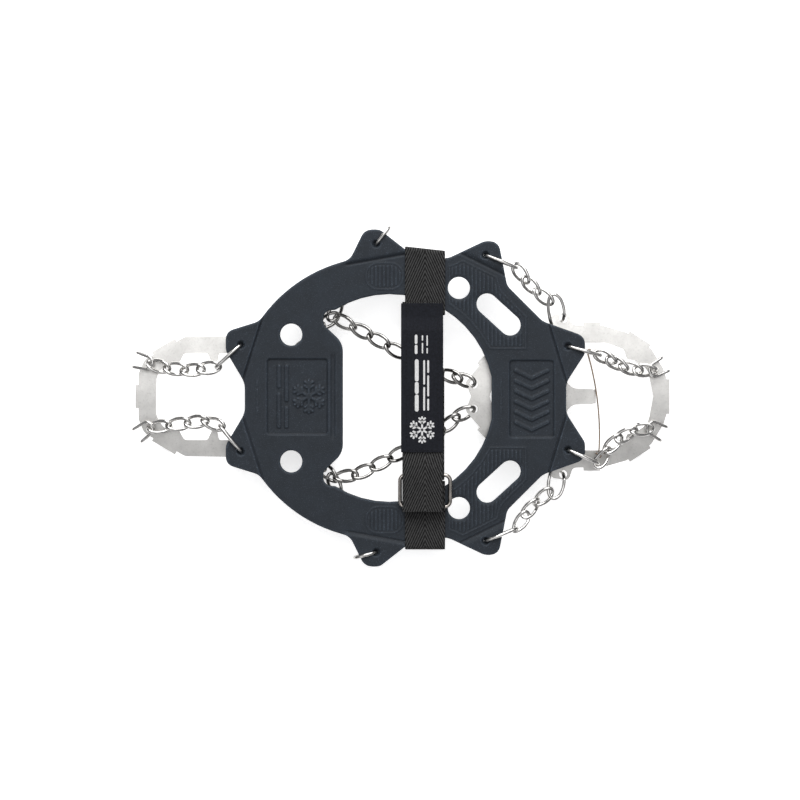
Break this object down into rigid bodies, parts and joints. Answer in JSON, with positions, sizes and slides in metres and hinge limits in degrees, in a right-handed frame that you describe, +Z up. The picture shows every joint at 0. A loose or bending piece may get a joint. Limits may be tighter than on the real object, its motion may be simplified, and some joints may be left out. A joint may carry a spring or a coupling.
{
  "type": "shoe ice cleats",
  "caption": "Elastic harness with a hook and loop strap that holds two toothed steel plates under a boot by short chains.",
  "frame": {"origin": "middle of the outline on the ground, under the tooth tips", "axes": "+X towards the toe, +Y towards the wearer's left, +Z up"},
  "size_m": [0.3255, 0.2049, 0.0306],
  "materials": {
    "harness_rubber": "moulded matte elastomer, slate grey",
    "stainless_plate": "tumbled stainless sheet",
    "chain_steel": "bright drawn stainless wire",
    "bronze_wire": "thin bronze coloured wire",
    "webbing": "black herringbone webbing",
    "label_fabric": "dark navy woven label",
    "buckle_wire": "polished wire"
  },
  "bodies": {
    "front_plate": {"front_plate": "stainless_plate", "toe_yoke_left": "chain_steel", "toe_yoke_right": "chain_steel", "ear_link_left": "chain_steel", "ear_link_right": "chain_steel", "mid_chain_left": "chain_steel", "mid_chain_right": "chain_steel"},
    "heel_plate": {"heel_plate": "stainless_plate", "heel_yoke_left": "chain_steel", "heel_yoke_right": "chain_steel", "rear_chain_left": "chain_steel", "rear_chain_right": "chain_steel"},
    "harness": {"harness": "harness_rubber", "strap_wrap": "webbing", "buckle_strap": "webbing", "buckle_anchor": "webbing", "arch_ring_left": "chain_steel", "arch_ring_right": "chain_steel"},
    "strap_flap": {"strap_flap": "webbing", "strap_label": "label_fabric"},
    "buckle_loop": {"buckle_loop": "buckle_wire"},
    "toe_spreader_wire": {"toe_spreader_wire": "bronze_wire"},
    "toe_chain_left": {"toe_ring_left": "chain_steel", "toe_chain_left": "chain_steel"},
    "ball_chain_left": {"ball_ring_left": "chain_steel", "ball_chain_left": "chain_steel"},
    "heel_chain_left": {"heel_ring_left": "chain_steel", "heel_chain_left": "chain_steel"},
    "arch_chain_left": {"arch_chain_left": "chain_steel"},
    "toe_chain_right": {"toe_ring_right": "chain_steel", "toe_chain_right": "chain_steel"},
    "ball_chain_right": {"ball_ring_right": "chain_steel", "ball_chain_right": "chain_steel"},
    "heel_chain_right": {"heel_ring_right": "chain_steel", "heel_chain_right": "chain_steel"},
    "arch_chain_right": {"arch_chain_right": "chain_steel"}
  },
  "joints": [
    {"name": "harness_lift", "type": "slide", "parent": "front_plate", "child": "harness", "axis": [0, 0, 1], "range_m": [0, 0.005]},
    {"name": "heel_plate_shift", "type": "slide", "parent": "front_plate", "child": "heel_plate", "axis": [1, 0, 0], "range_m": [0, 0.001]},
    {"name": "toe_chain_swing_left", "type": "hinge", "parent": "harness", "child": "toe_chain_left", "pos_m": [0.1006, 0.031, 0.0215], "axis": [0.3035, 0.9528, 0], "range_deg": [0, 5.55]},
    {"name": "ball_chain_swing_left", "type": "hinge", "parent": "harness", "child": "ball_chain_left", "pos_m": [0.0512, 0.0856, 0.0215], "axis": [0.5839, 0.8118, 0], "range_deg": [0, 6.08]},
    {"name": "heel_chain_swing_left", "type": "hinge", "parent": "harness", "child": "heel_chain_left", "pos_m": [-0.0952, 0.032, 0.0215], "axis": [0.215, -0.9766, 0], "range_deg": [0, 5.27]},
    {"name": "arch_chain_swing_left", "type": "hinge", "parent": "harness", "child": "arch_chain_left", "pos_m": [-0.0112, 0.0962, 0.0169], "axis": [0.844, -0.5364, 0], "range_deg": [0, 5.06]},
    {"name": "toe_chain_swing_right", "type": "hinge", "parent": "harness", "child": "toe_chain_right", "pos_m": [0.1006, -0.031, 0.0215], "axis": [-0.2863, 0.9582, 0], "range_deg": [0, 5.74]},
    {"name": "ball_chain_swing_right", "type": "hinge", "parent": "harness", "child": "ball_chain_right", "pos_m": [0.0512, -0.0856, 0.0215], "axis": [-0.608, 0.7939, 0], "range_deg": [0, 5.94]},
    {"name": "heel_chain_swing_right", "type": "hinge", "parent": "harness", "child": "heel_chain_right", "pos_m": [-0.0952, -0.032, 0.0215], "axis": [-0.2808, -0.9598, 0], "range_deg": [0, 5.14]},
    {"name": "arch_chain_swing_right", "type": "hinge", "parent": "harness", "child": "arch_chain_right", "pos_m": [-0.0192, -0.0947, 0.0149], "axis": [-0.9041, -0.4273, 0], "range_deg": [0, 5.51]},
    {"name": "toe_spreader_swing", "type": "hinge", "parent": "harness", "child": "toe_spreader_wire", "pos_m": [0.1006, 0, 0.0215], "axis": [0, 1, 0], "range_deg": [0, 5.62]},
    {"name": "flap_peel", "type": "hinge", "parent": "harness", "child": "strap_flap", "pos_m": [0.015, 0.0575, 0.02565], "axis": [-1, 0, 0], "range_deg": [0, 150]},
    {"name": "buckle_tilt", "type": "hinge", "parent": "harness", "child": "buckle_loop", "pos_m": [0.015, -0.065, 0.0259], "axis": [1, 0, 0], "range_deg": [-1.2, 1.2]}
  ],
  "couplings": [
    {"joint": "toe_chain_swing_left", "follows": "harness_lift", "rad_per_m": 19.21},
    {"joint": "ball_chain_swing_left", "follows": "harness_lift", "rad_per_m": 21.041},
    {"joint": "heel_chain_swing_left", "follows": "harness_lift", "rad_per_m": 18.22},
    {"joint": "arch_chain_swing_left", "follows": "harness_lift", "rad_per_m": 17.473},
    {"joint": "toe_chain_swing_right", "follows": "harness_lift", "rad_per_m": 19.879},
    {"joint": "ball_chain_swing_right", "follows": "harness_lift", "rad_per_m": 20.577},
    {"joint": "heel_chain_swing_right", "follows": "harness_lift", "rad_per_m": 17.773},
    {"joint": "arch_chain_swing_right", "follows": "harness_lift", "rad_per_m": 19.074},
    {"joint": "toe_spreader_swing", "follows": "harness_lift", "rad_per_m": 19.455}
  ]
}
